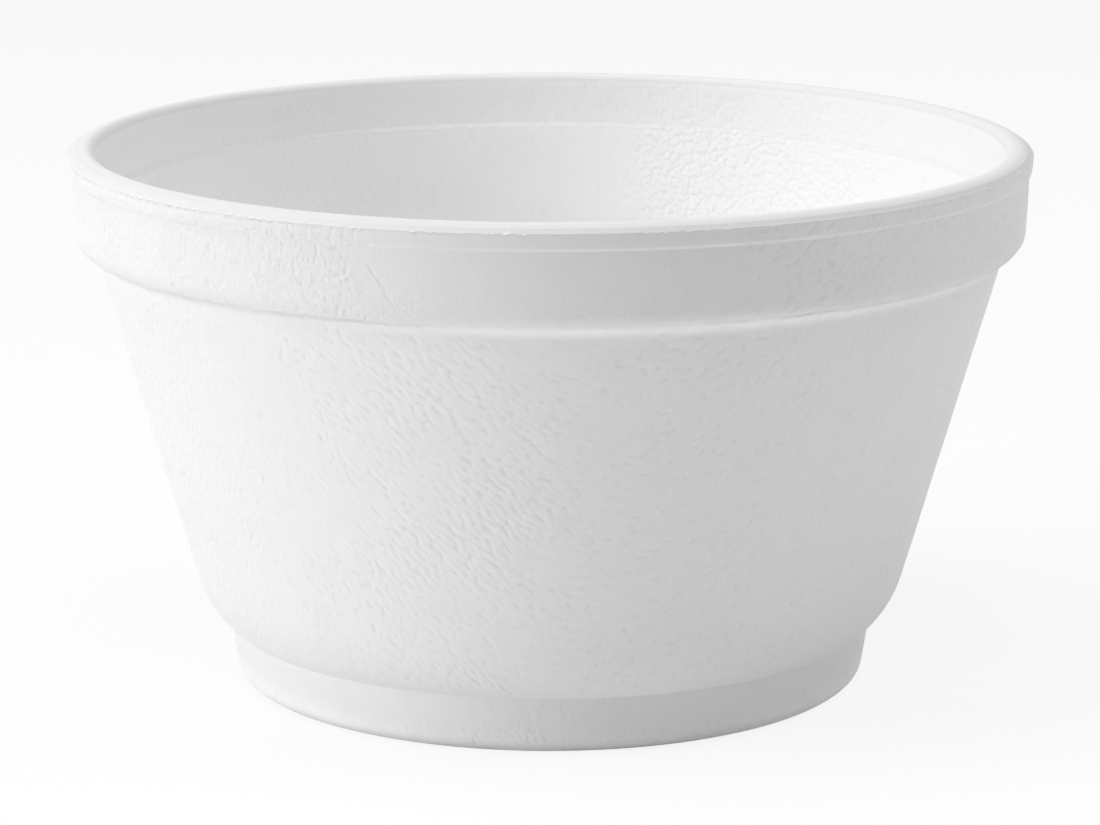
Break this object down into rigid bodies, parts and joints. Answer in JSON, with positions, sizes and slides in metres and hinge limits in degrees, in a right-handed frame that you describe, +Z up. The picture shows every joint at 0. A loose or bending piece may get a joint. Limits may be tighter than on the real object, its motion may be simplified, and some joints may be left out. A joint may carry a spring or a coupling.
{
  "type": "foam bowl",
  "caption": "Squat round food bowl of white bead foam, open at the top, with a foot ring, a stacking shoulder under its collar and a rim band that a lid snaps over.",
  "frame": {"origin": "middle of the base, on the plane that the foot ring stands on", "axes": "+Z up along the bowl's axis; X and Y lie across it in any two square directions, as the bowl is round"},
  "size_m": [0.1172, 0.1172, 0.0663],
  "materials": {
    "foam": "white expanded bead foam, moulded: satin skin with the outlines of fused beads, fine wrinkles and small pits"
  },
  "bodies": {
    "root": {"bowl": "foam"}
  },
  "joints": []
}
